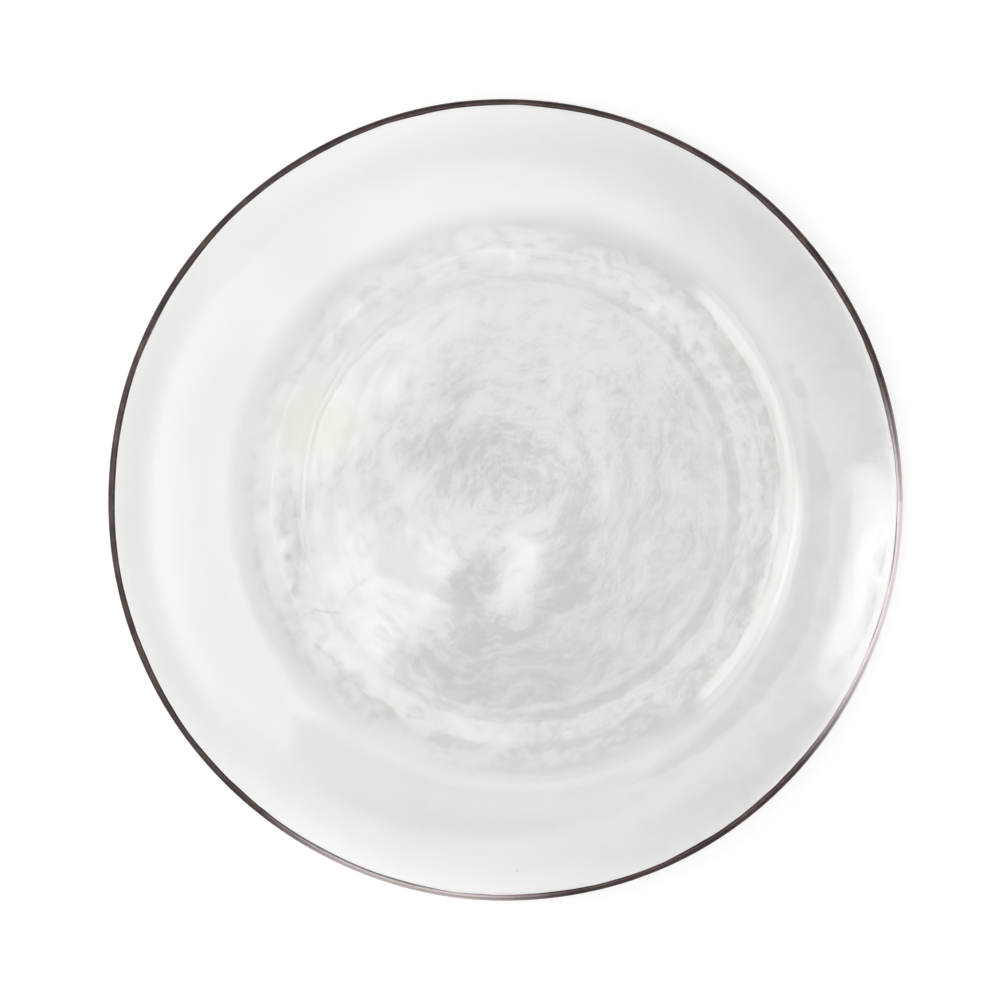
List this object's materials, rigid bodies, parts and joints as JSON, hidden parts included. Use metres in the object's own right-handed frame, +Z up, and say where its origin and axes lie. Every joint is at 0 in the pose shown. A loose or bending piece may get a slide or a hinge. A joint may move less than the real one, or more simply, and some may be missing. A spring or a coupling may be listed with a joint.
{
  "type": "charger plate",
  "caption": "Round clear glass charger plate with a shallow swirled well, a wide rising flange and a dark metal lustre band around its rim, for standing under a dinner plate.",
  "frame": {"origin": "on the table surface, under the middle of the plate", "axes": "+Z up along the plate's axis, X and Y across the plate"},
  "size_m": [0.3299, 0.33, 0.022],
  "materials": {
    "glass": "clear fire-polished glass with a hand-worked swirl in the well",
    "rim_lustre": "fired-on metal lustre, dark copper, brushed on by hand"
  },
  "bodies": {
    "root": {"glass_plate": "glass", "rim_band": "rim_lustre"}
  },
  "joints": []
}
